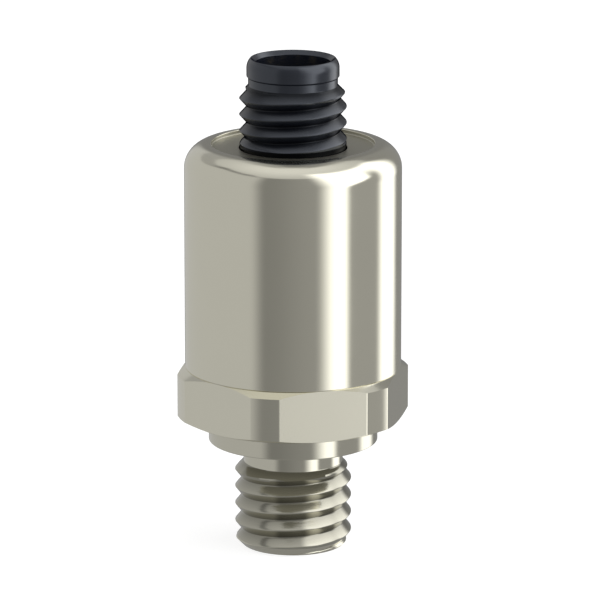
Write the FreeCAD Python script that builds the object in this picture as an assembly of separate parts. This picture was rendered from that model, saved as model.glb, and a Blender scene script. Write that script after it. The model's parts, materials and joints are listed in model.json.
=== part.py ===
"""Pressure transmitter: a steel process connection with a hexagon, a round
can and a plastic plug connector, with the ceramic cell and the boards inside.

Origin: centre of the lower end face of the process thread. +Z runs up the
axis to the plug connector. -Y is square to one flat of the hexagon.
All lengths are in millimetres, all angles in degrees.
"""
import FreeCAD, Part
import math
import os

from FreeCAD import Vector

# ---- fits ----
SLIDE = 0.05            # clearance on the radius of pieces that push together
SEAL_ROOM = 0.2         # free width beside a seal in its groove

# ---- threads: both right-hand; a flank's angle is taken from the radial plane ----
FRONT = 254.0           # direction in which the first crests are given
THREAD_R = 6.5          # process thread, crest radius
THREAD_PITCH = 1.98
THREAD_CREST = 0.07     # width of the crest flat
THREAD_DEPTH = 0.735
THREAD_FLANK = 51.0
THREAD_FIRST = 1.12     # height of the first crest
LEAD_R = 5.7            # radius of the lower end face
PLUG_R = 5.93           # connector thread, crest radius
PLUG_PITCH = 1.815
PLUG_CREST = 0.06
PLUG_DEPTH = 0.74
PLUG_FLANK = 48.0
PLUG_FIRST = 0.56       # first crest above the recess floor of the can

# ---- port body ----
THREAD_END = 9.57       # height where the thread meets the relief neck
NECK_R = 5.54
COLLAR_Z = 12.03        # sealing face of the collar
COLLAR_R = 9.43
COLLAR_H = 2.69
HEX_AF = 24.0           # across the flats
HEX_R = 13.02           # the hexagon's corners are turned to this radius
HEX_H = 5.76
HEX_TOP_CHAMFER, HEX_FOOT_CHAMFER = 30.0, 23.0
INLET_R = 1.75          # pressure inlet
INLET_MOUTH = 0.5       # chamfer at the mouth of the inlet
FLOOR_ABOVE_SEAT = 4.97  # cup floor above the collar's sealing face
CHAMBER_R = 4.8         # shallow chamber under the diaphragm
CHAMBER_H = 0.4
CUP_WALL = 1.9
SPIGOT_H = 4.75         # spigot above the hexagon

# ---- can ----
CAN_R = 12.05
CAN_H = 25.29
CAN_WALL = 1.0
SHOULDER_R = 2.75
RIM_R = 9.04            # inner edge of the top land
RECESS = 0.47
LID = 1.2               # thickness under the recess

# ---- seals: radius of the middle, width and fitted height of the section ----
CELL_SEAL_R, CELL_SEAL_W, CELL_SEAL_H = 6.7, 2.0, 1.35
CAN_SEAL_W, CAN_SEAL_H = 1.1, 1.5
PLUG_SEAL_R, PLUG_SEAL_W, PLUG_SEAL_H = 8.0, 1.5, 1.1

# ---- ceramic cell ----
CELL_GAP = 0.1          # cell to cup wall, on the radius
DIAPHRAGM_H = 0.5
JOINT_W = 2.2           # glass joint between diaphragm and base
JOINT_H = 0.1
CELL_H = 5.0
CELL_PIN_R = 0.3
CELL_PIN_PCR = 4.2      # radius of the circle that the four pins stand on
CELL_PIN_DEPTH = 1.0
NOTCH_R = 0.9
THRUST_W, THRUST_H = 1.8, 1.2
LOCK_W, LOCK_H, LOCK_SLOT = 1.7, 1.43, 1.6

# ---- boards ----
FRAME_WALL = 0.8        # moulded frame that carries the two boards
LEDGE_W, LEDGE_H = 0.8, 1.0
BOARD_H = 1.0
BOARD_GAP = 0.1
SIGNAL_RISE = 3.2       # signal board above the spigot
FILTER_DROP = 4.07      # filter board below the connector's flange
WINDOW_W = 9.0
HOLE_GAP = 0.1          # round a pin in a board
TAIL = 0.6              # pin ends past a board
LINK_PITCH, LINK_PIN, LINK_Y = 2.0, 0.5, 7.0
HEADER_W, HEADER_H = 2.0, 2.5

# ---- plug connector ----
FLANGE_H = 2.2
FLANGE_GAP = 0.3
NOSE_NECK_R = 4.95
NOSE_NECK_H = 0.85
NOSE_R = 5.13
NOSE_H = 2.13
NOSE_CROWN_H = 1.05     # the lip's arc: its height and how far it leans in
NOSE_CROWN_IN = 0.42
MOUTH_R = 4.15
MOUTH_CHAMFER = 0.45
THREADED_H = 7.02       # recess floor to the neck of the nose
KEY_W, KEY_H = 1.2, 0.65
CARRIER_FLANGE_W = 1.0
CARRIER_FLANGE_H = 1.3
PIN_R = 0.5
PIN_PCR = 2.75
PIN_PROUD = 7.3
PIN_SHORT = 1.7         # pin tips below the mouth

# ---- worked out from the sizes above ----
HEX_Z = COLLAR_Z + COLLAR_H
SHELF_Z = HEX_Z + HEX_H                     # top of the hexagon, foot of the can
CUP_Z = COLLAR_Z + FLOOR_ABOVE_SEAT
CAN_TOP = SHELF_Z + CAN_H
RECESS_Z = CAN_TOP - RECESS
CEILING_Z = RECESS_Z - LID
CAN_BORE = CAN_R - CAN_WALL
SPIGOT_R = CAN_BORE - SLIDE
SPIGOT_Z = SHELF_Z + SPIGOT_H
CUP_R = SPIGOT_R - CUP_WALL
CELL_R = CUP_R - CELL_GAP
CELL_Z = CUP_Z + DIAPHRAGM_H + JOINT_H      # underside of the cell base
CELL_TOP = CELL_Z + CELL_H
LOCK_Z = CELL_TOP + THRUST_H
LOCK_TOP = LOCK_Z + LOCK_H
FRAME_R = CAN_BORE - FLANGE_GAP
FRAME_BORE = FRAME_R - FRAME_WALL
FLANGE_Z = CEILING_Z - FLANGE_H
BOARD_R = FRAME_BORE - BOARD_GAP
SIGNAL_Z = SPIGOT_Z + SIGNAL_RISE
FILTER_Z = FLANGE_Z - FILTER_DROP
NECK_Z = RECESS_Z + THREADED_H
MOUTH_Z = NECK_Z + NOSE_NECK_H + NOSE_H
PIN_TIP_Z = MOUTH_Z - PIN_SHORT
CARRIER_Z = PIN_TIP_Z - PIN_PROUD           # face that the pins stand on
KEY_ANGLE = 270.0
PIN_ANGLES = [45.0 + 90.0 * k for k in range(4)]

AXIS = Vector(0, 0, 1)
ORIGIN = Vector(0, 0, 0)
PAST = 1.0              # how far a cutting tool runs past the work


# ---- helpers ----
def wire_rz(steps):
    """Closed outline in the XZ plane. A step is a point (r, z), or a pair of
    points ((r, z), (r, z)): an arc through the first that ends at the second."""
    edges = []
    here = steps[0]
    for step in steps[1:] + [steps[0]]:
        start = Vector(here[0], 0, here[1])
        if isinstance(step[0], tuple):
            middle, end = step
            arc = Part.Arc(start, Vector(middle[0], 0, middle[1]), Vector(end[0], 0, end[1]))
            edges.append(arc.toShape())
        else:
            end = step
            finish = Vector(end[0], 0, end[1])
            if finish.distanceToPoint(start) > 1e-6:
                edges.append(Part.makeLine(start, finish))
        here = end
    return Part.Wire(edges)


def turned(steps):
    """Solid turned about the Z axis from an outline."""
    return Part.Face(wire_rz(steps)).revolve(ORIGIN, AXIS, 360)


def rod(radius, low, high, x=0.0, y=0.0):
    return Part.makeCylinder(radius, high - low, Vector(x, y, low))


def tube(outer, inner, low, high):
    return rod(outer, low, high).cut(rod(inner, low - PAST, high + PAST))


def block(size_x, size_y, low, high, x=0.0, y=0.0):
    corner = Vector(x - size_x / 2, y - size_y / 2, low)
    return Part.makeBox(size_x, size_y, high - low, corner)


def around(shape, angle):
    """Copy of a shape turned about the Z axis."""
    copy = shape.copy()
    copy.rotate(ORIGIN, AXIS, angle)
    return copy


def on_circle(radius, angle):
    turn = math.radians(angle)
    return radius * math.cos(turn), radius * math.sin(turn)


def squeezed(centre, width, low, high, corner):
    """Ring with a bevelled rectangular section: a seal pressed into its groove."""
    inner, outer = centre - width / 2, centre + width / 2
    return turned([
        (inner + corner, low),
        (outer - corner, low),
        (outer, low + corner),
        (outer, high - corner),
        (outer - corner, high),
        (inner + corner, high),
        (inner, high - corner),
        (inner, low + corner),
    ])


def threaded(crest_r, pitch, crest, depth, flank, first, blank):
    """Right-hand thread cut into a turned blank. The ridge is one swept solid
    whose flanks run on into the core, and it starts and ends outside the blank."""
    root_r = crest_r - depth
    slope = math.tan(math.radians(flank))
    floor = pitch - crest - 2 * depth * slope
    sink = 0.45 * floor / slope
    half = crest / 2 + (depth + sink) * slope
    outline = Part.makePolygon([
        Vector(root_r - sink, 0, -half),
        Vector(crest_r, 0, -crest / 2),
        Vector(crest_r, 0, crest / 2),
        Vector(root_r - sink, 0, half),
        Vector(root_r - sink, 0, -half),
    ])
    box = blank.BoundBox
    below = math.ceil((first - box.ZMin) / pitch) + 1
    start = first - below * pitch
    turns = math.ceil((box.ZMax - start) / pitch) + 1
    helix = Part.makeHelix(pitch, pitch * turns, root_r)
    ridge = Part.Wire(helix).makePipeShell([outline], True, True)
    ridge.rotate(ORIGIN, AXIS, FRONT)
    ridge.translate(Vector(0, 0, start))
    core = rod(root_r, start - pitch, start + (turns + 1) * pitch)
    return core.fuse(ridge).Solids[0].common(blank).Solids[0]


# ---- port body ----
def thread_blank():
    """Outline of the process thread's stock: lead-in, run-out and neck."""
    top = COLLAR_Z + PAST
    over = THREAD_R + 0.2
    return turned([
        (0, 0),
        (LEAD_R, 0),
        (over, over - LEAD_R),
        (over, THREAD_END - (over - NECK_R)),
        (NECK_R, THREAD_END),
        (NECK_R, top),
        (0, top),
    ])


def hexagon():
    """Hexagon with its corners turned and chamfered at both faces."""
    corner = HEX_AF / 2 / math.cos(math.radians(30))
    points = [Vector(*on_circle(corner, 60 * k), HEX_Z) for k in range(7)]
    prism = Part.Face(Part.makePolygon(points)).extrude(Vector(0, 0, HEX_H))
    flat_r = HEX_AF / 2
    foot, top = [
        (HEX_R - flat_r) * math.tan(math.radians(angle)) for angle in (HEX_FOOT_CHAMFER, HEX_TOP_CHAMFER)
    ]
    blank = turned([
        (0, HEX_Z),
        (flat_r, HEX_Z),
        (HEX_R, HEX_Z + foot),
        (HEX_R, SHELF_Z - top),
        (flat_r, SHELF_Z),
        (0, SHELF_Z),
    ])
    return prism.common(blank)


def port_body():
    """Thread, neck, sealing collar, hexagon and the cup for the cell: one
    turned piece, bored through for the pressure."""
    thread = threaded(
        THREAD_R, THREAD_PITCH, THREAD_CREST, THREAD_DEPTH, THREAD_FLANK, THREAD_FIRST, thread_blank()
    )
    collar = rod(COLLAR_R, COLLAR_Z, HEX_Z)
    spigot = rod(SPIGOT_R, SHELF_Z, SPIGOT_Z)
    seal_low, seal_high = can_seal_span()
    seal_cut = tube(SPIGOT_R + PAST, CAN_BORE - CAN_SEAL_W, seal_low - SEAL_ROOM, seal_high + SEAL_ROOM)
    head = collar.fuse([hexagon(), spigot]).cut(seal_cut)
    hollow = turned([
        (0, -PAST),
        (INLET_R + INLET_MOUTH + PAST, -PAST),
        (INLET_R, INLET_MOUTH),
        (INLET_R, CUP_Z - CHAMBER_H),
        (CHAMBER_R, CUP_Z - CHAMBER_H),
        (CHAMBER_R, CUP_Z),
        (CUP_R, CUP_Z),
        (CUP_R, SPIGOT_Z + PAST),
        (0, SPIGOT_Z + PAST),
    ])
    half = CELL_SEAL_W / 2 + SEAL_ROOM
    cell_groove = tube(CELL_SEAL_R + half, CELL_SEAL_R - half, CUP_Z - CELL_SEAL_H, CUP_Z + PAST)
    return head.fuse(thread).cut(hollow).cut(cell_groove)


def cell_seal():
    return squeezed(CELL_SEAL_R, CELL_SEAL_W, CUP_Z - CELL_SEAL_H, CUP_Z, 0.6)


def can_seal_span():
    middle = (SHELF_Z + SPIGOT_Z) / 2
    return middle - CAN_SEAL_H / 2, middle + CAN_SEAL_H / 2


def can_seal():
    low, high = can_seal_span()
    return squeezed(CAN_BORE - CAN_SEAL_W / 2, CAN_SEAL_W, low, high, 0.45)


# ---- can ----
def can():
    """Drawn round can with a rolled shoulder and a shallow recess on top."""
    inner_shoulder = SHOULDER_R - CAN_WALL
    cut = 1 - math.sqrt(0.5)
    hole = PLUG_R + SLIDE
    return turned([
        (CAN_BORE, SHELF_Z),
        (CAN_R, SHELF_Z),
        (CAN_R, CAN_TOP - SHOULDER_R),
        ((CAN_R - SHOULDER_R * cut, CAN_TOP - SHOULDER_R * cut), (CAN_R - SHOULDER_R, CAN_TOP)),
        (RIM_R, CAN_TOP),
        (RIM_R, RECESS_Z),
        (hole, RECESS_Z),
        (hole, CEILING_Z),
        (CAN_BORE - inner_shoulder, CEILING_Z),
        (
            (CAN_BORE - inner_shoulder * cut, CEILING_Z - inner_shoulder * cut),
            (CAN_BORE, CEILING_Z - inner_shoulder),
        ),
    ])


# ---- ceramic cell and what holds it ----
def cell_diaphragm():
    return rod(CELL_R, CUP_Z, CUP_Z + DIAPHRAGM_H)


def cell_joint():
    return tube(CELL_R, CELL_R - JOINT_W, CUP_Z + DIAPHRAGM_H, CELL_Z)


def cell_base():
    """Thick ceramic disc with three notches, an air vent and four pin holes."""
    disc = rod(CELL_R, CELL_Z, CELL_TOP)
    vent = rod(CELL_PIN_R, CELL_Z - PAST, CELL_TOP + PAST)
    notches = [
        rod(NOTCH_R, CELL_Z - PAST, CELL_TOP + PAST, *on_circle(CELL_R, angle))
        for angle in (90, 210, 330)
    ]
    holes = [
        rod(CELL_PIN_R, CELL_TOP - CELL_PIN_DEPTH, CELL_TOP + PAST, *on_circle(CELL_PIN_PCR, angle))
        for angle in PIN_ANGLES
    ]
    return disc.cut([vent] + notches + holes)


def cell_pins():
    top = SIGNAL_Z + BOARD_H + TAIL
    low = CELL_TOP - CELL_PIN_DEPTH
    return Part.Compound([
        rod(CELL_PIN_R, low, top, *on_circle(CELL_PIN_PCR, angle)) for angle in PIN_ANGLES
    ])


def thrust_ring():
    outer = CUP_R - SLIDE
    return tube(outer, outer - THRUST_W, CELL_TOP, LOCK_Z)


def lock_ring():
    """Ring that is screwed down on the thrust ring, with four spanner slots."""
    outer = CUP_R - SLIDE
    ring = tube(outer, outer - LOCK_W, LOCK_Z, LOCK_TOP)
    slots = [
        around(block(2 * outer, LOCK_SLOT, LOCK_TOP - LOCK_SLOT / 2, LOCK_TOP + PAST), angle)
        for angle in (0, 90)
    ]
    return ring.cut(slots)


# ---- boards ----
def board_frame():
    """Moulded tube with a ledge under each board and three tall windows."""
    wall = tube(FRAME_R, FRAME_BORE, SPIGOT_Z, FLANGE_Z)
    ledges = [
        tube(FRAME_BORE, FRAME_BORE - LEDGE_W, level - LEDGE_H, level) for level in (SIGNAL_Z, FILTER_Z)
    ]
    low, high = SIGNAL_Z + BOARD_H + LEDGE_H, FILTER_Z - 2 * LEDGE_H
    windows = [
        around(block(2 * FRAME_R, WINDOW_W, low, high, x=FRAME_R), angle) for angle in (90, 210, 330)
    ]
    return wall.fuse(ledges).cut(windows)


def link_places():
    return [((k - 1.5) * LINK_PITCH, -LINK_Y) for k in range(4)]


def link_holes(low, high):
    side = LINK_PIN + 2 * HOLE_GAP
    return [block(side, side, low, high, x, y) for x, y in link_places()]


def board(level, pin_r, pin_pcr):
    """Round board with holes for four round pins and for the link pins."""
    low, high = level - PAST, level + BOARD_H + PAST
    pins = [rod(pin_r + HOLE_GAP, low, high, *on_circle(pin_pcr, angle)) for angle in PIN_ANGLES]
    return rod(BOARD_R, level, level + BOARD_H).cut(pins + link_holes(low, high))


def signal_board():
    return board(SIGNAL_Z, CELL_PIN_R, CELL_PIN_PCR)


def filter_board():
    return board(FILTER_Z, PIN_R, PIN_PCR)


def on_signal_board(size_x, size_y, height, x, y):
    low = SIGNAL_Z + BOARD_H
    return block(size_x, size_y, low, low + height, x, y)


def on_filter_board(size_x, size_y, height, x, y):
    low = FILTER_Z + BOARD_H
    return block(size_x, size_y, low, low + height, x, y)


def signal_chip():
    return on_signal_board(4.0, 4.0, 0.9, 0.0, 0.0)


def memory_chip():
    return on_signal_board(3.0, 2.0, 0.8, 0.0, 5.6)


def signal_capacitors():
    return Part.Compound([on_signal_board(1.2, 2.0, 1.0, x, 0.0) for x in (-5.2, 5.2, 7.2)])


def signal_resistors():
    return Part.Compound([on_signal_board(1.6, 0.8, 0.45, x, y) for x in (-7.0, -5.0) for y in (4.6, -3.9)])


def surge_diodes():
    return Part.Compound([on_filter_board(2.0, 1.3, 0.9, x, 5.4) for x in (-2.0, 2.0)])


def filter_coil():
    """Small choke: a drum between two flanges."""
    low = FILTER_Z + BOARD_H
    drum = rod(1.1, low, low + 1.5, 6.2, 0.0)
    plates = [block(2.8, 2.8, z, z + 0.4, 6.2, 0.0) for z in (low, low + 1.1)]
    return drum.fuse(plates)


def filter_capacitors():
    return Part.Compound([on_filter_board(1.2, 2.0, 1.0, -6.2, y) for y in (-1.6, 1.6)])


def link_header():
    low = SIGNAL_Z + BOARD_H
    bar = block(4 * LINK_PITCH, HEADER_W, low, low + HEADER_H, y=-LINK_Y)
    holes = [block(LINK_PIN, LINK_PIN, low - PAST, low + HEADER_H + PAST, x, y) for x, y in link_places()]
    return bar.cut(holes)


def link_pins():
    low, high = SIGNAL_Z - TAIL, FILTER_Z + BOARD_H + TAIL
    return Part.Compound([block(LINK_PIN, LINK_PIN, low, high, x, y) for x, y in link_places()])


# ---- plug connector ----
def plug_blank():
    """Outline of the connector above the recess floor, thread stock and nose."""
    over = PLUG_R + 0.2
    low = CEILING_Z
    step = NOSE_R - NOSE_NECK_R
    nose_z = NECK_Z + NOSE_NECK_H
    crown_r = (NOSE_CROWN_H ** 2 + NOSE_CROWN_IN ** 2) / (2 * NOSE_CROWN_IN)
    crown_z = MOUTH_Z - NOSE_CROWN_H
    half = math.asin(NOSE_CROWN_H / crown_r) / 2
    middle = (NOSE_R - crown_r * (1 - math.cos(half)), crown_z + crown_r * math.sin(half))
    return turned([
        (0, low),
        (over, low),
        (over, NECK_Z - (over - NOSE_NECK_R)),
        (NOSE_NECK_R, NECK_Z),
        (NOSE_NECK_R, nose_z),
        (NOSE_R, nose_z + step),
        (NOSE_R, crown_z),
        (middle, (NOSE_R - NOSE_CROWN_IN, MOUTH_Z)),
        (0, MOUTH_Z),
    ])


def connector_shell():
    """Moulded shell: flange under the can's lid, external thread, plain nose
    and an open socket with a key rib."""
    threaded_part = threaded(
        PLUG_R, PLUG_PITCH, PLUG_CREST, PLUG_DEPTH, PLUG_FLANK, RECESS_Z + PLUG_FIRST, plug_blank()
    )
    base_r = PLUG_R - 0.03
    base_z = RECESS_Z + PLUG_FIRST + PLUG_CREST / 2
    base = turned([
        (0, FLANGE_Z),
        (FRAME_R, FLANGE_Z),
        (FRAME_R, CEILING_Z - SHOULDER_R + CAN_WALL),
        (FRAME_R - SHOULDER_R + CAN_WALL, CEILING_Z),
        (base_r, CEILING_Z),
        (base_r, base_z),
        (base_r - 1.0, base_z + 1.0),
        (0, base_z + 1.0),
    ])
    half = PLUG_SEAL_W / 2 + SEAL_ROOM
    groove = tube(PLUG_SEAL_R + half, PLUG_SEAL_R - half, CEILING_Z - PLUG_SEAL_H, CEILING_Z + PAST)
    step_z = FLANGE_Z + CARRIER_FLANGE_H
    socket = turned([
        (0, FLANGE_Z - PAST),
        (MOUTH_R + CARRIER_FLANGE_W, FLANGE_Z - PAST),
        (MOUTH_R + CARRIER_FLANGE_W, step_z),
        (MOUTH_R, step_z),
        (MOUTH_R, MOUTH_Z - MOUTH_CHAMFER),
        (MOUTH_R + MOUTH_CHAMFER + PAST, MOUTH_Z + PAST),
        (0, MOUTH_Z + PAST),
    ])
    body = base.fuse(threaded_part).cut(groove).cut(socket)
    rib = around(block(2 * KEY_H, KEY_W, CARRIER_Z, MOUTH_Z - MOUTH_CHAMFER, x=MOUTH_R), KEY_ANGLE)
    return body.fuse(rib)


def contact_carrier():
    """Insulating insert that holds the four contact pins."""
    top_r = MOUTH_R - SLIDE
    step_z = FLANGE_Z + CARRIER_FLANGE_H
    body = turned([
        (0, FLANGE_Z),
        (top_r + CARRIER_FLANGE_W, FLANGE_Z),
        (top_r + CARRIER_FLANGE_W, step_z),
        (top_r, step_z),
        (top_r, CARRIER_Z),
        (0, CARRIER_Z),
    ])
    holes = [rod(PIN_R, FLANGE_Z - PAST, CARRIER_Z + PAST, *on_circle(PIN_PCR, a)) for a in PIN_ANGLES]
    return body.cut(holes)


def contact_pin(angle):
    """Round contact with a bevelled tip, soldered into the filter board."""
    low = FILTER_Z - TAIL
    bevel = PIN_R / 2
    pin = turned([
        (0, low),
        (PIN_R, low),
        (PIN_R, PIN_TIP_Z - bevel),
        (PIN_R - bevel, PIN_TIP_Z),
        (0, PIN_TIP_Z),
    ])
    x, y = on_circle(PIN_PCR, angle)
    pin.translate(Vector(x, y, 0))
    return pin


def connector_seal():
    return squeezed(PLUG_SEAL_R, PLUG_SEAL_W, CEILING_Z - PLUG_SEAL_H, CEILING_Z, 0.45)


NODES = {
    "port_body": port_body,
    "cell_seal": cell_seal,
    "cell_diaphragm": cell_diaphragm,
    "cell_joint": cell_joint,
    "cell_base": cell_base,
    "cell_pins": cell_pins,
    "thrust_ring": thrust_ring,
    "lock_ring": lock_ring,
    "board_frame": board_frame,
    "signal_board": signal_board,
    "signal_chip": signal_chip,
    "memory_chip": memory_chip,
    "signal_capacitors": signal_capacitors,
    "signal_resistors": signal_resistors,
    "link_header": link_header,
    "link_pins": link_pins,
    "filter_board": filter_board,
    "filter_coil": filter_coil,
    "filter_capacitors": filter_capacitors,
    "surge_diodes": surge_diodes,
    "contact_carrier": contact_carrier,
    "connector_shell": connector_shell,
    "connector_seal": connector_seal,
    "can_seal": can_seal,
    "can": can,
}


def main():
    os.makedirs("parts", exist_ok=True)
    shapes = {name: make() for name, make in NODES.items()}
    for number, angle in enumerate(PIN_ANGLES, start=1):
        shapes[f"contact_pin_{number}"] = contact_pin(angle)
    for name, shape in shapes.items():
        shape.exportStep(os.path.join("parts", f"{name}.step"))
        print(f"{name}: {len(shape.Solids)} solid(s), {shape.Volume:.1f} mm3, valid {shape.isValid()}")


main()
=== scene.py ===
# %% [markdown]
# # A pressure transmitter: polished steel, a moulded plug and a studio of cards
#
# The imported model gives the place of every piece. This lesson puts finer surfaces
# over the pieces that show, gives each of them a finish, and then lights and
# frames them.

# %% Load the frame
import json

import bmesh
import bpy
import numpy as np
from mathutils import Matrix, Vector


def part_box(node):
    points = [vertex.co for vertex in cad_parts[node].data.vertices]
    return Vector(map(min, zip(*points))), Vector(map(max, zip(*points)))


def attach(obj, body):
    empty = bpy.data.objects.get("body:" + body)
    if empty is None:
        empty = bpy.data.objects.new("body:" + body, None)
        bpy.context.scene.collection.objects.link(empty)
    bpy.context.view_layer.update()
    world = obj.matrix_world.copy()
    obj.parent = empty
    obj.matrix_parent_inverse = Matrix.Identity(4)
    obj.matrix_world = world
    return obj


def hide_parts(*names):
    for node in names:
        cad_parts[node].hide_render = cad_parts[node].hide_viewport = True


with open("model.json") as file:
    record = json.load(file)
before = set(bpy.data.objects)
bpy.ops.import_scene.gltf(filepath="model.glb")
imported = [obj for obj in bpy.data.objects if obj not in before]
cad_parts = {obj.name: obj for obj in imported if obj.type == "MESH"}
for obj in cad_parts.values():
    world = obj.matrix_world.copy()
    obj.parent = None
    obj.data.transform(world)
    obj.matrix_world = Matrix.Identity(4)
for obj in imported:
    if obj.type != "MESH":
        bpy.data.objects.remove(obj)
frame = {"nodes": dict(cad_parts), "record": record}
MM = 0.001
DEG = np.pi / 180.0
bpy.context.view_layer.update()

# %% [markdown]
# ## The sizes
#
# The heights and radii that the frame can give are read from it. The rest are
# the sizes that such a part is turned or moulded to, in millimetres, and each
# section starts with its own. The can's come first, because the port body's
# spigot fits its bore and the plug comes up through its lid.


# %% Sizes of the can
def node_box(node):
    """Lower and upper corner of a CAD node, in millimetres."""
    return [np.array(corner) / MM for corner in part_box(node)]


can_low, can_high = node_box("can")
CAN_R, CAN_FOOT, CAN_TOP = can_high[1], can_low[2], can_high[2]
CAN_WALL, LID = 1.0, 1.2
CAN_BORE = CAN_R - CAN_WALL
SHOULDER_R = 2.75                       # outer radius of the rolled shoulder
INNER_ROUND = SHOULDER_R - CAN_WALL
RIM_R, RECESS = 9.04, 0.47              # radius and depth of the recess in the lid
RECESS_Z = CAN_TOP - RECESS
CEILING_Z = RECESS_Z - LID
BASE_R, PLUG_GAP = 5.90, 0.08           # the plug's base, and its gap in the lid's hole
FOOT_ROUND, RIM_ROUND, RECESS_ROUND = 0.08, 0.06, 0.12
print("can radius", round(CAN_R, 3), "from", round(CAN_FOOT, 3), "to", round(CAN_TOP, 3))

# %% [markdown]
# ## Outlines with broken edges
#
# No turned edge is truly sharp: a file or the tool takes off a few hundredths.
# That tiny round catches a bright line, so every corner of an outline gets one.
# A bevel modifier could do it too, but here the outline itself is rounded, which
# keeps the rows of the mesh exactly where the edges are.

# %% Rounded outline
BROKEN_EDGE = 0.05      # the round of a corner for which no other is given
SMALL_ROUND = 0.5       # a smaller round gives way where a leg of its corner is short
LEG_SHARE = 0.45        # the most of a leg that a small round takes up
STRAIGHT = 89.5 * DEG   # half the angle from which two legs count as one line
EDGE_STEPS, ROUND_STEPS = 3, 22
SUPPORT = 0.05          # distance of a support row from the end of its run


def rounded_corner(before, corner, after, radius, steps=EDGE_STEPS):
    """Points of an arc that touches both legs of a corner. Its centre lies on
    the bisector at radius / sin(half angle), and it turns by pi minus the angle."""
    leg_a, leg_b = before - corner, after - corner
    long_a, long_b = np.linalg.norm(leg_a), np.linalg.norm(leg_b)
    leg_a, leg_b = leg_a / long_a, leg_b / long_b
    half = np.arccos(np.clip(leg_a @ leg_b, -1, 1)) / 2
    if radius == 0 or half > STRAIGHT:
        return corner[None, :]
    if radius < SMALL_ROUND:
        radius = min(radius, LEG_SHARE * min(long_a, long_b) * np.tan(half))
    bisector = (leg_a + leg_b) / np.linalg.norm(leg_a + leg_b)
    centre = corner + bisector * radius / np.sin(half)
    across = (leg_b - leg_a) / np.linalg.norm(leg_b - leg_a)
    sweep = np.linspace(-(np.pi / 2 - half), np.pi / 2 - half, steps + 1)[:, None]
    return centre + radius * (np.sin(sweep) * across - np.cos(sweep) * bisector)


def with_supports(points):
    """Adds a row close to both ends of each long straight run, so that smooth
    shading bends only there and the run between them stays flat."""
    ahead = np.roll(points, -1, axis=0) - points
    length = np.linalg.norm(ahead, axis=1)
    part = np.where(length > 4 * SUPPORT, SUPPORT / np.maximum(length, SUPPORT), 0)[:, None]
    rows = np.stack([points, points + ahead * part, points + ahead * (1 - part)], axis=1)
    long_run = part[:, 0] > 0
    return rows[np.stack([np.ones_like(long_run), long_run, long_run], axis=1)]


def split_corners(corners):
    """Places and radii of corners given as (r, z) or (r, z, radius)."""
    places = np.array([corner[:2] for corner in corners], float)
    return places, [corner[2] if len(corner) > 2 else BROKEN_EDGE for corner in corners]


def outline(corners):
    """Closed outline. A small round gets three steps and a large one 22, which
    is a step for each four degrees of a quarter turn."""
    places, radii = split_corners(corners)
    arcs = []
    for k, radius in enumerate(radii):
        steps = EDGE_STEPS if radius < SMALL_ROUND else ROUND_STEPS
        after = places[(k + 1) % len(places)]
        arcs.append(rounded_corner(places[k - 1], places[k], after, radius, steps))
    return with_supports(np.concatenate(arcs))


print("a rounded square has", len(outline([(1, 0), (2, 0), (2, 1), (1, 1)])), "points")

# %% [markdown]
# ## From grids to meshes
#
# Every piece is a grid of rows and columns. Rows follow the outline, columns go
# round the axis. Where rows run together, as on a cone that fades into a flat,
# the points are welded and the empty faces vanish. Blender's Spin could turn an
# outline as well, but not one that changes with the angle, as a thread's does.

# %% Grid to mesh
WELD = 2e-7             # in metres: points nearer to each other become one
SHARP = 50 * DEG        # faces that meet at a larger angle keep a hard edge


def grid_object(name, points, seam=False):
    """points is an array (rows, columns, 3) in millimetres. The rows close on
    themselves, and so do the columns, unless the last column already lies on the
    first, as a seam: a thread's rows meet there one turn on, and are welded."""
    rows, columns = points.shape[:2]

    def index(r, c):
        return (r % rows) * columns + c % columns

    row, column = np.meshgrid(np.arange(rows), np.arange(columns - seam), indexing="ij")
    next_row, next_column = row + 1, column + 1
    corners = [
        index(row, column), index(row, next_column), index(next_row, next_column), index(next_row, column),
    ]
    quads = np.stack(corners, axis=-1).reshape(-1, 4)
    mesh = bpy.data.meshes.new(name)
    mesh.from_pydata((points.reshape(-1, 3) * MM).tolist(), [], quads.tolist())
    work = bmesh.new()
    work.from_mesh(mesh)
    bmesh.ops.remove_doubles(work, verts=work.verts, dist=WELD)
    bmesh.ops.dissolve_degenerate(work, dist=WELD, edges=work.edges)
    bmesh.ops.recalc_face_normals(work, faces=work.faces)
    for face in work.faces:
        face.smooth = True
    work.to_mesh(mesh)
    work.free()
    mesh.set_sharp_from_angle(angle=SHARP)
    piece = bpy.data.objects.new(name, mesh)
    bpy.context.scene.collection.objects.link(piece)
    print(name, len(mesh.vertices), "points", len(mesh.polygons), "faces")
    return piece


def around_axis(radius, height, angles):
    """Surface of revolution, where radius may change with the angle:
    x = r cos a, y = r sin a, z = h."""
    radius, height, angles = np.broadcast_arrays(radius, height, angles)
    return np.stack([radius * np.cos(angles), radius * np.sin(angles), height], axis=-1)


def turned_piece(name, corners, columns, x=0.0, y=0.0):
    """A closed outline turned about an upright axis through (x, y)."""
    profile = outline(corners)
    angles = np.linspace(0, 2 * np.pi, columns, endpoint=False)
    points = around_axis(profile[:, :1], profile[:, 1:], angles[None, :])
    return grid_object(name, points + np.array([x, y, 0.0]))


# %% [markdown]
# ## The can
#
# A deep-drawn can: a straight wall, a shoulder rolled to a large radius, a
# narrow land and a shallow recess round the plug. It could be bent out of a
# cylinder with modifiers, but one outline says it all, so it is one surface of
# revolution. Its inner wall follows the outer one at the sheet's thickness.

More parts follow.
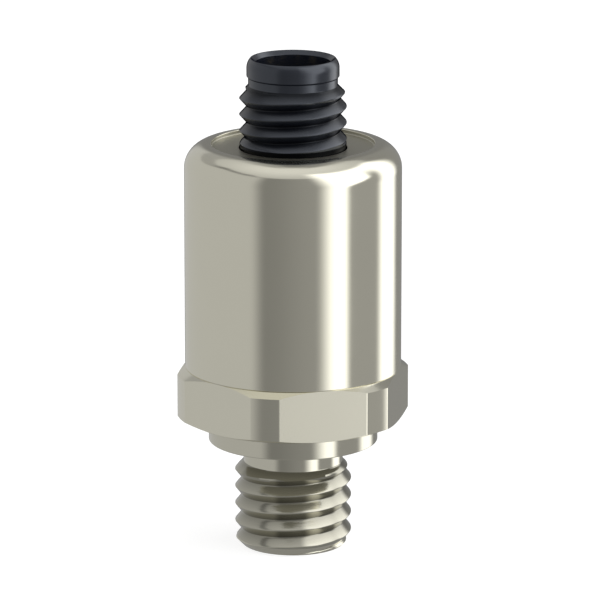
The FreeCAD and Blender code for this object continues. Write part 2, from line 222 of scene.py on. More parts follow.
# %% Can
can = turned_piece("can_body", [
    (CAN_BORE, CAN_FOOT),
    (CAN_R, CAN_FOOT, FOOT_ROUND),
    (CAN_R, CAN_TOP, SHOULDER_R),
    (RIM_R, CAN_TOP, RIM_ROUND),
    (RIM_R, RECESS_Z, RECESS_ROUND),
    (BASE_R + PLUG_GAP, RECESS_Z),
    (BASE_R + PLUG_GAP, CEILING_Z),
    (CAN_BORE, CEILING_Z, INNER_ROUND),
], columns=288)

# %% [markdown]
# ## Screw threads
#
# A screw thread is a wave that climbs one pitch in each turn. On a plain grid of
# heights the crests would cut across the rows and look like stairs, so here the
# rows climb with the thread: each row keeps its place on the wave, and its ends
# are clipped to the two end circles. What is left of a clipped row is welded.

# %% Climbing rows
FRONT = -106.0 * DEG    # direction in which the heights of the first crests are given
SOFTEN = 0.12           # round at the foot and at the crest of a flank
SOFTEN_STEPS, FLANK_POINTS = 4, 5


def thread_wave(crest_r, pitch, crest, depth, flank):
    """One pitch of the wave as (height, radius): floor, flank, crest, flank,
    where a flank is depth tan(flank) high. The corners are softened a little."""
    root_r, half = crest_r - depth, pitch / 2
    foot = crest / 2 + depth * np.tan(flank)
    corners = np.array([
        [-half, root_r], [-foot, root_r], [-crest / 2, crest_r],
        [crest / 2, crest_r], [foot, root_r], [half, root_r],
    ])
    arcs = [
        rounded_corner(*corners[k - 1:k + 2], SOFTEN, SOFTEN_STEPS)
        for k in range(1, len(corners) - 1)
    ]
    rise = np.linspace(arcs[0][-1], arcs[1][0], FLANK_POINTS)[1:-1]
    fall = np.linspace(arcs[2][-1], arcs[3][0], FLANK_POINTS)[1:-1]
    return np.concatenate([corners[:1], arcs[0], rise, arcs[1], arcs[2], fall, arcs[3]])


def thread_rows(wave, pitch, first, low, high, envelope, angles):
    """Rows (radius, height) of a right-hand thread between two heights:
    height = first + pitch (angle - FRONT) / 2 pi + place on the wave, clipped,
    and radius = the smaller of the wave and the turned envelope at that height."""
    climb = pitch * (angles - FRONT) / (2 * np.pi)
    lowest = np.floor((low - first - climb.max()) / pitch) - 1
    highest = (high - first - climb.min()) / pitch + 2
    turns = np.arange(lowest, highest)
    places = (wave[None, :, 0] + turns[:, None] * pitch).ravel()
    radii = np.tile(wave[:, 1], len(turns))[:, None]
    height = np.clip(first + climb[None, :] + places[:, None], low, high)
    inside = (height > low) & (height < high)
    edge = envelope(height)
    return np.where(inside, np.minimum(radii, edge), edge), height


THREAD = dict(crest_r=6.5, pitch=1.98, crest=0.07, depth=0.735, flank=51.0 * DEG)
process_wave = thread_wave(**THREAD)
print("one pitch of the process thread has", len(process_wave), "rows")

# %% [markdown]
# ## The port body
#
# One turned piece: thread, relief neck, sealing collar and hexagon, bored
# through. The hexagon is the smaller of two shapes at each angle, the six flats
# and the turned corners, and its chamfers start where the flats do. A boolean
# could cut the flats from a turned blank, but it would leave ragged faces, so
# columns stand exactly on the edges of the flats, and these come out crisp.

# %% Sizes of the port body
port_low, port_high = node_box("port_body")
THREAD_FIRST, THREAD_END = 1.12, 9.57   # height of the first crest, and of the run-out
LEAD_R, NECK_R = 5.7, 5.54              # lead-in at the end face, and relief neck
COLLAR_Z, COLLAR_R, COLLAR_ROUND = 12.03, 9.43, 0.07
HEX_Z, FLAT_R = 14.72, 24.0 / 2         # foot of the hexagon, and half its width across flats
HEX_R = min(-port_low[0], port_high[0])
HEX_FOOT_CHAMFER, HEX_TOP_CHAMFER = 23.0 * DEG, 30.0 * DEG
SPIGOT_R, SPIGOT_Z = CAN_BORE - 0.05, node_box("lock_ring")[1][2]
CUP_R, CUP_Z = 9.1, node_box("cell_diaphragm")[0][2]
CHAMBER_R, CHAMBER_Z = 4.8, CUP_Z - 0.4
INLET_R, INLET_MOUTH = 1.75, 0.5        # the bore, and the chamfer at its mouth
print("hexagon", 2 * FLAT_R, "across flats and", round(2 * HEX_R, 3), "across its turned corners")

# %% Columns for the hexagon
SIXTH = 60 * DEG
HEX_COLUMNS, NEAR_EDGE = 300, 0.35 * DEG


def hexagon_angles():
    """Even columns, and three more at each edge between flat and turned corner.
    Even columns that almost touch one of those are left out."""
    edge = np.arccos(FLAT_R / HEX_R)
    middles = (np.arange(6) + 0.5) * SIXTH
    edges = (middles[:, None] + np.array([-edge, edge])).ravel()
    extra = (edges[:, None] + np.array([-NEAR_EDGE, 0, NEAR_EDGE])).ravel()
    even = np.linspace(0, 2 * np.pi, HEX_COLUMNS, endpoint=False)
    clear = np.abs(even[:, None] - extra[None, :]).min(axis=1) > 0.6 * NEAR_EDGE
    return np.sort(np.concatenate([even[clear], extra % (2 * np.pi)]))


def hexagon_radius(angles):
    """Distance to the nearest flat along each angle, cut at the turned corner."""
    off = angles % SIXTH - SIXTH / 2
    return np.minimum(FLAT_R / np.cos(off), HEX_R)


def hexagon_rows(angles):
    """Rows (radius, height) up the hexagon: lower chamfer, side, upper chamfer.
    A chamfer's height is (r - half the width across flats) tan(chamfer). Rows
    stand close to the ends of each, so that it stays flat between them."""
    side = hexagon_radius(angles)
    out = side - FLAT_R
    foot, top = out * np.tan(HEX_FOOT_CHAMFER), out * np.tan(HEX_TOP_CHAMFER)
    along = np.array([0.0, 0.05, 0.95, 1.0])[:, None]
    up = np.array([0.01, 0.5, 0.99])[:, None]
    chamfer_r = FLAT_R + out * along
    side_z = HEX_Z + foot + (CAN_FOOT - HEX_Z - foot - top) * up
    side_r = np.broadcast_to(side, side_z.shape)
    radius = np.concatenate([chamfer_r, side_r, chamfer_r[::-1]])
    return radius, np.concatenate([HEX_Z + foot * along, side_z, CAN_FOOT - top * along[::-1]])


hexagon_columns = hexagon_angles()
print("hexagon columns", len(hexagon_columns))

# %% Port body
STOCK = 0.2             # how far a thread's envelope stands over its crests


def process_envelope(height):
    """Turned outline of the thread's stock: lead-in, full size, run-out, neck."""
    over = THREAD["crest_r"] + STOCK
    heights = [0, over - LEAD_R, THREAD_END - (over - NECK_R), THREAD_END]
    return np.interp(height, heights, [LEAD_R, over, over, NECK_R])


def plain_rows(profile, angles):
    """Rows of an outline whose radius is the same at every angle."""
    flat = np.ones_like(angles)[None, :]
    return profile[:, :1] * flat, profile[:, 1:] * flat


def open_outline(corners):
    """Rounded outline that isn't closed. Its ends stay where they are, and one
    support row follows the last, a short step back towards the first."""
    places, radii = split_corners(corners)
    arcs = [rounded_corner(*places[k - 1:k + 2], radii[k]) for k in range(1, len(places) - 1)]
    points = np.concatenate([places[:1], *arcs, places[-1:]])
    return with_supports(np.concatenate([points, points[-1:]]))[:-1]


def joined_rows(runs, angles):
    """Runs of rows, each (radius, height), one after another about the axis."""
    radius = np.concatenate([run[0] for run in runs])
    height = np.concatenate([run[1] for run in runs])
    return around_axis(radius, height, angles[None, :])


def port_body_points():
    """All rows of the closed outline, from the end face round to the bore."""
    angles = np.append(hexagon_columns, hexagon_columns[0] + 2 * np.pi)
    thread = thread_rows(
        process_wave, THREAD["pitch"], THREAD_FIRST, 0.0, THREAD_END, process_envelope, angles
    )
    collar = open_outline([
        (NECK_R, THREAD_END), (NECK_R, COLLAR_Z), (COLLAR_R, COLLAR_Z, COLLAR_ROUND),
        (COLLAR_R, HEX_Z), (FLAT_R, HEX_Z),
    ])
    inside = open_outline([
        (FLAT_R, CAN_FOOT), (SPIGOT_R, CAN_FOOT), (SPIGOT_R, SPIGOT_Z), (CUP_R, SPIGOT_Z),
        (CUP_R, CUP_Z), (CHAMBER_R, CUP_Z), (CHAMBER_R, CHAMBER_Z), (INLET_R, CHAMBER_Z),
        (INLET_R, INLET_MOUTH), (INLET_R + INLET_MOUTH, 0.0), (LEAD_R, 0.0),
    ])
    return joined_rows(
        [thread, plain_rows(collar, angles), hexagon_rows(angles), plain_rows(inside, angles)], angles
    )


port_body = grid_object("port_steel", port_body_points(), seam=True)

# %% [markdown]
# ## The plug connector
#
# A black moulding: a base ring, an outer thread, a plain nose and a socket with
# a key rib. Inside the can it ends in a flange. It could be built up from turned
# pieces, but a moulding has no joints, so it is one grid too: the thread uses
# the same climbing rows, with another envelope.

# %% Sizes of the plug
shell_low, shell_high = node_box("connector_shell")
carrier_low, carrier_high = node_box("contact_carrier")
PLUG = dict(crest_r=5.93, pitch=1.815, crest=0.06, depth=0.74, flank=48.0 * DEG)
PLUG_FIRST = RECESS_Z + 0.56            # height of the first crest
BASE_TAPER = 1.2                        # how far the base ring slopes in under the thread
NOSE_NECK_R, NOSE_R = 4.95, 5.13
NECK_Z, NOSE_Z, MOUTH_Z = RECESS_Z + 7.02, RECESS_Z + 7.87, shell_high[2]
CROWN_H, CROWN_IN = 1.05, 0.42          # the lip's arc: its height and how far it leans in
MOUTH_R, MOUTH_CHAMFER = 4.15, 0.45
BORE_Z, SOCKET_FLOOR = MOUTH_Z - 0.8, carrier_high[2]   # the key rib runs between these
KEY_TURN, KEY_W, KEY_H = 270.0 * DEG, 1.2, 0.65
STEP_W, STEP_Z = 1.0, shell_low[2] + 1.3
SEAM_Z = CEILING_Z + 0.3                # where thread and flange meet, inside the lid's hole
PLUG_COLUMNS, KEY_STEP, CROWN_STEPS = 240, 0.002, 8
plug_wave = thread_wave(**PLUG)
print("plug mouth at", round(MOUTH_Z, 3), "and socket floor at", round(SOCKET_FLOOR, 3))


# %% Outline of the plug
def plug_envelope(height):
    """Turned outline above the recess: thread stock, then the neck of the nose."""
    over = PLUG["crest_r"] + STOCK
    return np.interp(height, [NECK_Z - (over - NOSE_NECK_R), NECK_Z], [over, NOSE_NECK_R])


def plug_base(height):
    """The base ring and its 45 degree top, under which the thread runs out."""
    top = PLUG_FIRST + PLUG["crest"] / 2
    return np.interp(height, [top, top + BASE_TAPER], [BASE_R, BASE_R - BASE_TAPER])


def lip_crown():
    """The nose's arc: it leaves the side upright and reaches the top after
    leaning in by CROWN_IN, so its radius is (h^2 + d^2) / 2 d."""
    radius = (CROWN_H ** 2 + CROWN_IN ** 2) / (2 * CROWN_IN)
    turn = np.linspace(0, np.arcsin(CROWN_H / radius), CROWN_STEPS + 1)
    across = NOSE_R - radius * (1 - np.cos(turn))
    up = MOUTH_Z - CROWN_H + radius * np.sin(turn)
    return [(r, z, 0) for r, z in zip(across[:-1], up[:-1])] + [(across[-1], up[-1])]


print("the lip's arc has", len(lip_crown()), "points")


# %% Connector shell
def connector_columns():
    """Even columns, with a pair of close ones at each side of the key rib, and
    the half angle that the rib takes up."""
    half = np.arcsin(KEY_W / 2 / MOUTH_R)
    sides = KEY_TURN + np.array([-half - KEY_STEP, -half, 0, half, half + KEY_STEP])
    even = np.linspace(0, 2 * np.pi, PLUG_COLUMNS + 1)
    clear = np.abs(even - KEY_TURN) > half + 3 * KEY_STEP
    return np.sort(np.append(even[clear], sides)), half + KEY_STEP / 2


def socket_rows(angles, key_half):
    """Rows down the socket. The key rib is a dip in its radius, to a flat face:
    radius = (MOUTH_R - KEY_H) / cos(angle from the key)."""
    off_key = angles - KEY_TURN
    face = (MOUTH_R - KEY_H) / np.cos(np.clip(off_key, -key_half, key_half))
    radius = np.where(np.abs(off_key) < key_half, np.minimum(face, MOUTH_R), MOUTH_R)
    height = np.array([BORE_Z, BORE_Z - SUPPORT, SOCKET_FLOOR + SUPPORT, SOCKET_FLOOR])
    return np.broadcast_arrays(radius[None, :], height[:, None])


def connector_points():
    """Rows from the lid's hole up the thread and nose, over the lip, down the
    socket and round the flange."""
    angles, key_half = connector_columns()
    thread_r, thread_z = thread_rows(
        plug_wave, PLUG["pitch"], PLUG_FIRST, SEAM_Z, NECK_Z, plug_envelope, angles
    )
    thread = np.maximum(thread_r, plug_base(thread_z)), thread_z
    nose = open_outline([
        (NOSE_NECK_R, NECK_Z), (NOSE_NECK_R, NOSE_Z), (NOSE_R, NOSE_Z + NOSE_R - NOSE_NECK_R),
        *lip_crown(), (MOUTH_R + MOUTH_CHAMFER, MOUTH_Z), (MOUTH_R, MOUTH_Z - MOUTH_CHAMFER),
        (MOUTH_R, BORE_Z),
    ])
    flange = open_outline([
        (MOUTH_R, SOCKET_FLOOR), (MOUTH_R, STEP_Z), (MOUTH_R + STEP_W, STEP_Z),
        (MOUTH_R + STEP_W, shell_low[2]), (shell_high[0], shell_low[2]),
        (shell_high[0], CEILING_Z - INNER_ROUND), (shell_high[0] - INNER_ROUND, CEILING_Z),
        (BASE_R, CEILING_Z), (BASE_R, SEAM_Z),
    ])
    socket = socket_rows(angles, key_half)
    return joined_rows([thread, plain_rows(nose, angles), socket, plain_rows(flange, angles)], angles)


connector = grid_object("connector_moulding", connector_points(), seam=True)

# %% [markdown]
# ## What shows down the socket
#
# The insulating carrier and four contacts with domed tips are small turned
# pieces. Each contact is a mesh of its own, as each is a part of its own, made
# where it stands by moving the turned rows off the axis.

# %% Small turned pieces
pin_low, pin_high = node_box("contact_pin_1")
CARRIER_R, CARRIER_ROUND = MOUTH_R - 0.05, 0.15
PIN_CIRCLE, PIN_R, PIN_TIP = 2.75, 0.5, 0.42
carrier = turned_piece("carrier_insert", [
    (0, carrier_low[2], 0), (carrier_high[0], carrier_low[2]), (carrier_high[0], STEP_Z),
    (CARRIER_R, STEP_Z), (CARRIER_R, SOCKET_FLOOR, CARRIER_ROUND), (0, SOCKET_FLOOR, 0),
], columns=96)
pin_angles = (45 + 90 * np.arange(4)) * DEG
pins = [
    turned_piece(f"gold_contact_{k + 1}", [
        (0, pin_low[2], 0), (PIN_R, pin_low[2]), (PIN_R, pin_high[2], PIN_TIP), (0, pin_high[2], 0),
    ], columns=32, x=PIN_CIRCLE * np.cos(angle), y=PIN_CIRCLE * np.sin(angle))
    for k, angle in enumerate(pin_angles)
]

# %% [markdown]
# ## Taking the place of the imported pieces
#
# Each new surface rides with the body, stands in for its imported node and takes
# over that node's material slot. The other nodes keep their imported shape.

# %% Riding and replacing
stand_ins = {"can": can, "port_body": port_body, "connector_shell": connector, "contact_carrier": carrier}
stand_ins.update({f"contact_pin_{k + 1}": pin for k, pin in enumerate(pins)})
slot_of = {row["node"]: row["material_slot"] for row in frame["record"]["subparts"]}
for node, piece in stand_ins.items():
    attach(piece, "root")
    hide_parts(node)
print("replaced", len(stand_ins), "of", len(frame["nodes"]), "nodes")

# %% [markdown]
# ## Finishes
#
# Two effects serve several materials, so each is a node group. Lathe marks are
# fine rings: noise read over the distance from the axis and the height, so they
# run round the wall and round the faces alike. Moulded grain is a fine noise.
# A third one paints shade: the threads are darker towards the roots of their grooves,
# and everything below a given height is darker, such as the steel under the hexagon.
# The last one marks the recess in the can's lid, which is satin: the polishing
# wheel doesn't reach into it, so the connector's mirror image is blurred there.
# It also paints shade in the recess, which makes it darker.
# Painted masks could do the same, but sizes taken from the part stay in place
# when the part changes.


# %% Node helpers
def add_node(tree, kind, **settings):
    """A node with some of its inputs set by name or number, or linked."""
    node = tree.nodes.new(kind)
    for key, value in settings.items():
        if key.startswith("in_"):
            name = key[3:].replace("_", " ")
            socket = node.inputs[int(name)] if name.isdigit() else node.inputs[name]
            if isinstance(value, bpy.types.NodeSocket):
                tree.links.new(value, socket)
            else:
                socket.default_value = value
        else:
            setattr(node, key, value)
    return node


def maths(tree, operation, first, second=0.0, third=0.0):
    """One step of arithmetic on two or three values or sockets."""
    node = add_node(tree, "ShaderNodeMath", operation=operation, in_0=first, in_1=second, in_2=third)
    return node.outputs[0]


def span(tree, factor, low, high):
    """Moves a value from 0..1 to low..high."""
    return add_node(
        tree, "ShaderNodeMapRange", in_Value=factor, in_To_Min=low, in_To_Max=high
    ).outputs["Result"]


def new_group(name, inputs, outputs):
    """A shader node group with named float inputs and named outputs. Gives the
    group, the sockets that its inputs come from and the node that ends it."""
    group = bpy.data.node_groups.new(name, "ShaderNodeTree")
    for label, value in inputs.items():
        socket = group.interface.new_socket(label, in_out="INPUT", socket_type="NodeSocketFloat")
        socket.default_value = value
    for label, kind in outputs.items():
        group.interface.new_socket(label, in_out="OUTPUT", socket_type=kind)
    return group, group.nodes.new("NodeGroupInput").outputs, group.nodes.new("NodeGroupOutput")


def axis_distance(tree):
    """Distance from the object's own axis, and the height along it, in metres."""
    place = add_node(tree, "ShaderNodeTexCoord").outputs["Object"]
    parts = add_node(tree, "ShaderNodeSeparateXYZ", in_Vector=place).outputs
    flat = add_node(tree, "ShaderNodeCombineXYZ", in_X=parts["X"], in_Y=parts["Y"]).outputs[0]
    radius = add_node(tree, "ShaderNodeVectorMath", operation="LENGTH", in_0=flat)
    return radius.outputs["Value"], parts["Z"]


# %% Lathe marks and moulded grain
def relief(group, inputs, noise, bump_distance):
    """Bumps the surface by a noise, Depth strong."""
    return add_node(
        group, "ShaderNodeBump", in_Strength=inputs["Depth"], in_Distance=bump_distance,
        in_Height=noise.outputs["Fac"],
    ).outputs["Normal"]


def cloud(group, scale, detail):
    """A slow change that can move roughness and colour a little."""
    place = add_node(group, "ShaderNodeTexCoord").outputs["Object"]
    return add_node(
        group, "ShaderNodeTexNoise", in_Vector=place, in_Scale=scale, in_Detail=detail
    ).outputs["Fac"]


def lathe_marks_group():
    """Rings of noise over (distance from the axis, height), and a cloud."""
    group, inputs, ending = new_group(
        "lathe marks",
        {"Rings per mm": 9.0, "Depth": 0.02},
        {"Normal": "NodeSocketVector", "Cloud": "NodeSocketFloat"},
    )
    radius, height = axis_distance(group)
    rings = add_node(group, "ShaderNodeCombineXYZ", in_X=radius, in_Y=height).outputs[0]
    per_metre = maths(group, "MULTIPLY", inputs["Rings per mm"], 1 / MM)
    noise = add_node(
        group, "ShaderNodeTexNoise", noise_dimensions="2D", in_Vector=rings,
        in_Scale=per_metre, in_Detail=3.0, in_Roughness=0.6,
    )
    group.links.new(relief(group, inputs, noise, 0.0001), ending.inputs["Normal"])
    group.links.new(cloud(group, 220.0, 4.0), ending.inputs["Cloud"])
    return group


def moulded_grain_group():
    """Fine even grain of a moulded part, and a cloud."""
    group, inputs, ending = new_group(
        "moulded grain",
        {"Grains per mm": 14.0, "Depth": 0.1},
        {"Normal": "NodeSocketVector", "Cloud": "NodeSocketFloat"},
    )
    place = add_node(group, "ShaderNodeTexCoord").outputs["Object"]
    per_metre = maths(group, "MULTIPLY", inputs["Grains per mm"], 1 / MM)
    noise = add_node(group, "ShaderNodeTexNoise", in_Vector=place, in_Scale=per_metre, in_Detail=2.0)
    group.links.new(relief(group, inputs, noise, 0.00005), ending.inputs["Normal"])
    group.links.new(cloud(group, 300.0, 3.0), ending.inputs["Cloud"])
    return group


lathe_marks, moulded_grain = lathe_marks_group(), moulded_grain_group()
print(lathe_marks.name, len(lathe_marks.nodes), "nodes,", moulded_grain.name, len(moulded_grain.nodes))


# %% Masks of the grooves and of the recess
def between(group, inputs, height):
    """1 between the heights Low and High."""
    above = maths(group, "GREATER_THAN", height, inputs["Low"])
    below = maths(group, "LESS_THAN", height, inputs["High"])
    return maths(group, "MULTIPLY", above, below)


def groove_shade_group():
    """Mask for painted shade. Between the heights Low and High, Clear rises with the
    distance from the axis, from 0 at Root to 1 at Full, and elsewhere it is 1.
    Turned is 1 below the height Step, where shade is painted as well."""
    group, inputs, ending = new_group(
        "groove shade mask",
        {"Low": 0.0, "High": 0.0, "Root": 0.0, "Full": 0.0, "Step": 0.0},
        {"Clear": "NodeSocketFloat", "Turned": "NodeSocketFloat"},
    )
    radius, height = axis_distance(group)
    risen = add_node(
        group, "ShaderNodeMapRange", in_Value=radius,
        in_From_Min=inputs["Root"], in_From_Max=inputs["Full"],
    ).outputs["Result"]
    off = maths(group, "SUBTRACT", 1.0, between(group, inputs, height))
    turned = maths(group, "LESS_THAN", height, inputs["Step"])
    group.links.new(maths(group, "MAXIMUM", risen, off), ending.inputs["Clear"])
    group.links.new(turned, ending.inputs["Turned"])
    return group


def pocket_group():
    """1 nearer to the axis than Radius and between the heights Low and High."""
    group, inputs, ending = new_group(
        "pocket mask",
        {"Low": 0.0, "High": 0.0, "Radius": 0.0},
        {"Inside": "NodeSocketFloat"},
    )
    radius, height = axis_distance(group)
    near = maths(group, "LESS_THAN", radius, inputs["Radius"])
    inside = maths(group, "MULTIPLY", near, between(group, inputs, height))
    group.links.new(inside, ending.inputs["Inside"])
    return group


groove_shade_mask, pocket_mask = groove_shade_group(), pocket_group()
print(groove_shade_mask.name, len(groove_shade_mask.nodes), "nodes,", pocket_mask.name, len(pocket_mask.nodes))

# %% From effects to a material
EDGE_START, EDGE_END = 0.55, 0.85   # where a dull edge begins to fade, and where its gloss is gone


def two_tone(tree, factor, first, second):
    """A colour that drifts between two near ones."""
    return add_node(
        tree, "ShaderNodeMix", data_type="RGBA", in_Factor=factor, in_A=(*first, 1), in_B=(*second, 1)
    ).outputs["Result"]


def shaded(tree, colour, shade):
    """A colour multiplied by a value."""
    scale = add_node(tree, "ShaderNodeVectorMath", operation="SCALE", in_0=colour, in_Scale=shade)
    return scale.outputs["Vector"]


def place_mask(tree, mask_group, sizes):
    """A mask in a material, with its sizes given in millimetres."""
    mask = add_node(tree, "ShaderNodeGroup", node_tree=mask_group)
    for label, socket in mask.inputs.items():
        socket.default_value = sizes[label] * MM
    return mask.outputs


def edge_gloss(tree, specular):
    """Specular level that fades to nothing where the surface is seen edge on."""
    facing = add_node(tree, "ShaderNodeLayerWeight", in_Blend=0.5).outputs["Facing"]
    return add_node(
        tree, "ShaderNodeMapRange", interpolation_type="SMOOTHSTEP", in_Value=facing,
        in_From_Min=EDGE_START, in_From_Max=EDGE_END, in_To_Min=specular, in_To_Max=0.0,
    ).outputs["Result"]


def finish_material(
    name, group, scale, depth, colours, roughness, metallic=0.0, specular=0.5, tint=(1, 1, 1),
    grooves=None, pocket=None, dull_edge=False,
):
    """A principled surface whose normal, gloss and tint come from one effect.
    grooves, where it has a thread, gives the mask's sizes in millimetres, the painted
    shade at the thread's root and the painted shade below the height Step. pocket gives
    the recess, its roughness and its painted shade. dull_edge takes the gloss off at a
    grazing view, and the painted shade dims the gloss as well."""
    material = bpy.data.materials.new(name)
    material.use_nodes = True
    tree = material.node_tree
    surface = tree.nodes["Principled BSDF"]
    effect = add_node(tree, "ShaderNodeGroup", node_tree=group, in_0=scale, in_Depth=depth)
    tree.links.new(effect.outputs["Normal"], surface.inputs["Normal"])
    rough = span(tree, effect.outputs["Cloud"], *roughness)
    colour = two_tone(tree, effect.outputs["Cloud"], *colours)
    shade = 1.0
    # painted shade: darker towards a thread's roots, and darker below the height Step
    if grooves:
        mask = place_mask(tree, groove_shade_mask, grooves)
        root_shade = span(tree, mask["Clear"], grooves["root"], 1.0)
        shade_below_step = span(tree, mask["Turned"], 1.0, grooves["turned"])
        shade = maths(tree, "MULTIPLY", root_shade, shade_below_step)
        colour = shaded(tree, colour, shade)
    # the recess is satin, and darker by painted shade
    if pocket:
        inside = place_mask(tree, pocket_mask, pocket)["Inside"]
        rough = maths(tree, "MAXIMUM", rough, span(tree, inside, 0.0, pocket["roughness"]))
        colour = shaded(tree, colour, span(tree, inside, 1.0, pocket["shade"]))
    tree.links.new(rough, surface.inputs["Roughness"])
    tree.links.new(colour, surface.inputs["Base Color"])
    surface.inputs["Metallic"].default_value = metallic
    surface.inputs["Specular IOR Level"].default_value = specular
    surface.inputs["Specular Tint"].default_value = (*tint, 1)
    if dull_edge:
        # the painted shade dims the gloss as well
        gloss = maths(tree, "MULTIPLY", edge_gloss(tree, specular), shade)
        tree.links.new(gloss, surface.inputs["Specular IOR Level"])
    return material


print("a dull edge starts at", EDGE_START, "and ends at", EDGE_END)

# %% Materials
# painted shade on the steel: the thread darker towards its roots, and all of it below the hexagon darker
steel_grooves = {
    "Low": 0.9, "High": THREAD_END, "Step": HEX_Z,
    "Root": THREAD["crest_r"] - THREAD["depth"], "Full": THREAD["crest_r"] + 0.6,
    "root": 0.5, "turned": 0.84,
}
# the recess in the lid: satin, and darkened by painted shade
steel_pocket = {
    "Low": RECESS_Z - 0.1, "High": CAN_TOP - 0.08, "Radius": RIM_R + 0.04,
    "roughness": 0.38, "shade": 0.68,
}
# painted shade on the plug: its thread darker towards the roots, and its base ring under the first crest
# almost black
plastic_grooves = {
    "Low": RECESS_Z, "High": NECK_Z, "Step": PLUG_FIRST - 0.02,
    "Root": PLUG["crest_r"] - PLUG["depth"], "Full": PLUG["crest_r"] - 0.05,
    "root": 0.28, "turned": 0.1,
}
materials = {
    "polished_steel": finish_material(
        "polished steel", lathe_marks, 9.0, 0.02,
        [(0.80, 0.776, 0.655), (0.82, 0.796, 0.671)], (0.10, 0.15), metallic=1.0,
        grooves=steel_grooves, pocket=steel_pocket),
    "black_plastic": finish_material(
        "black plastic", moulded_grain, 14.0, 0.10,
        [(0.009, 0.011, 0.018), (0.012, 0.014, 0.022)], (0.20, 0.26), specular=0.95,
        tint=(0.84, 0.90, 1.0), dull_edge=True, grooves=plastic_grooves),
    "seal_rubber": finish_material(
        "seal rubber", moulded_grain, 10.0, 0.20,
        [(0.020, 0.020, 0.021), (0.028, 0.028, 0.029)], (0.55, 0.70)),
    "white_ceramic": finish_material(
        "ground ceramic", moulded_grain, 20.0, 0.05,
        [(0.80, 0.79, 0.74), (0.84, 0.83, 0.79)], (0.35, 0.45)),
    "solder_glass": finish_material(
        "solder glass", moulded_grain, 16.0, 0.08,
        [(0.30, 0.28, 0.23), (0.36, 0.34, 0.28)], (0.15, 0.25)),
    "frame_plastic": finish_material(
        "frame plastic", moulded_grain, 12.0, 0.12,
        [(0.17, 0.17, 0.18), (0.20, 0.20, 0.21)], (0.45, 0.55)),
    "green_board": finish_material(
        "board lacquer", moulded_grain, 6.0, 0.06,
        [(0.03, 0.16, 0.07), (0.04, 0.20, 0.09)], (0.28, 0.36)),
    "chip_epoxy": finish_material(
        "chip epoxy", moulded_grain, 18.0, 0.12,
        [(0.020, 0.020, 0.022), (0.030, 0.030, 0.032)], (0.45, 0.60)),
    "capacitor_ceramic": finish_material(
        "capacitor ceramic", moulded_grain, 14.0, 0.08,
        [(0.42, 0.31, 0.20), (0.48, 0.36, 0.24)], (0.35, 0.45)),
    "gold_plate": finish_material(
        "gold plate", lathe_marks, 16.0, 0.03,
        [(0.90, 0.68, 0.30), (0.94, 0.72, 0.34)], (0.18, 0.26), metallic=1.0),
    "tinned_pin": finish_material(
        "tinned wire", lathe_marks, 12.0, 0.05,
        [(0.78, 0.78, 0.77), (0.84, 0.84, 0.83)], (0.22, 0.32), metallic=1.0),
}
print(len(materials), "materials")


# %% Give every piece its finish
def dress(piece, material):
    """Replaces whatever slots a piece has by one finish."""
    piece.data.materials.clear()
    piece.data.materials.append(material)


for node, cad_object in frame["nodes"].items():
    dress(cad_object, materials[slot_of[node]])
for node, piece in stand_ins.items():
    dress(piece, materials[slot_of[node]])
print("dressed", len(frame["nodes"]), "nodes and", len(stand_ins), "stand-ins")

# %% [markdown]
# ## The studio
#
# Polished metal has hardly any colour of its own: it shows the room. So the
# room is designed. The camera sees a plain white surround, and the metal sees
# the same surround with grey cards standing in it, as in a studio for polished
# goods: a light card on the left, a dark one behind the camera, a mid-grey one
# in the gap on the right, a dark one behind, and a cream ceiling. Real cards
# and lamps could stand there, but a world drawn by direction needs no objects.
# Directions are measured from the camera's own, which is a fixed number here.

# %% Camera
VIEW_TURN = -16.0 * DEG          # from -Y towards -X
VIEW_RISE = 14.06 * DEG
DISTANCE = 575.0
AIM_HEIGHT = 27.9
AIM_RIGHT = 0.77                 # the object stands a little left of the middle
facing = np.array([np.sin(VIEW_TURN), -np.cos(VIEW_TURN), 0.0])
right = np.array([np.cos(VIEW_TURN), np.sin(VIEW_TURN), 0.0])
aim = np.array([0, 0, AIM_HEIGHT]) + right * AIM_RIGHT
offset = facing * np.cos(VIEW_RISE) + np.array([0, 0, np.sin(VIEW_RISE)])
camera_data = bpy.data.cameras.new("camera")
camera_data.sensor_width = 36.0
camera_data.lens = 310.5
camera_data.clip_start = 0.05
camera_data.clip_end = 20.0
camera = bpy.data.objects.new("camera", camera_data)
bpy.context.scene.collection.objects.link(camera)
camera.location = Vector((aim + offset * DISTANCE) * MM)
camera.rotation_euler = Vector(-offset).to_track_quat("-Z", "Y").to_euler()
bpy.context.scene.camera = camera
print("camera at", [round(v, 4) for v in camera.location])

# %% World helpers
world = bpy.data.worlds.new("studio")
bpy.context.scene.world = world
world.use_nodes = True
room = world.node_tree
room.nodes.clear()


def ramp(value, low, high):
    """Rises smoothly from 0 at low to 1 at high."""
    return add_node(
        room, "ShaderNodeMapRange", interpolation_type="SMOOTHSTEP",
        in_Value=value, in_From_Min=low, in_From_Max=high,
    ).outputs["Result"]


def product(first, *others):
    """Several masks multiplied together."""
    for other in others:
        first = maths(room, "MULTIPLY", first, other)
    return first


def upside(value):
    """One minus a mask."""
    return maths(room, "SUBTRACT", 1.0, value)


def card(below, mask, level):
    """Lays a card over what is behind it. Its grey level is a number or a socket."""
    return add_node(
        room, "ShaderNodeMix", data_type="FLOAT", in_Factor=mask, in_A=below, in_B=level
    ).outputs["Result"]


# %% Directions in the room, in degrees
heading = add_node(room, "ShaderNodeTexCoord").outputs["Generated"]


def pointing(direction):
    """How far the heading points in a fixed direction."""
    return add_node(
        room, "ShaderNodeVectorMath", operation="DOT_PRODUCT", in_0=heading, in_1=tuple(direction)
    ).outputs["Value"]


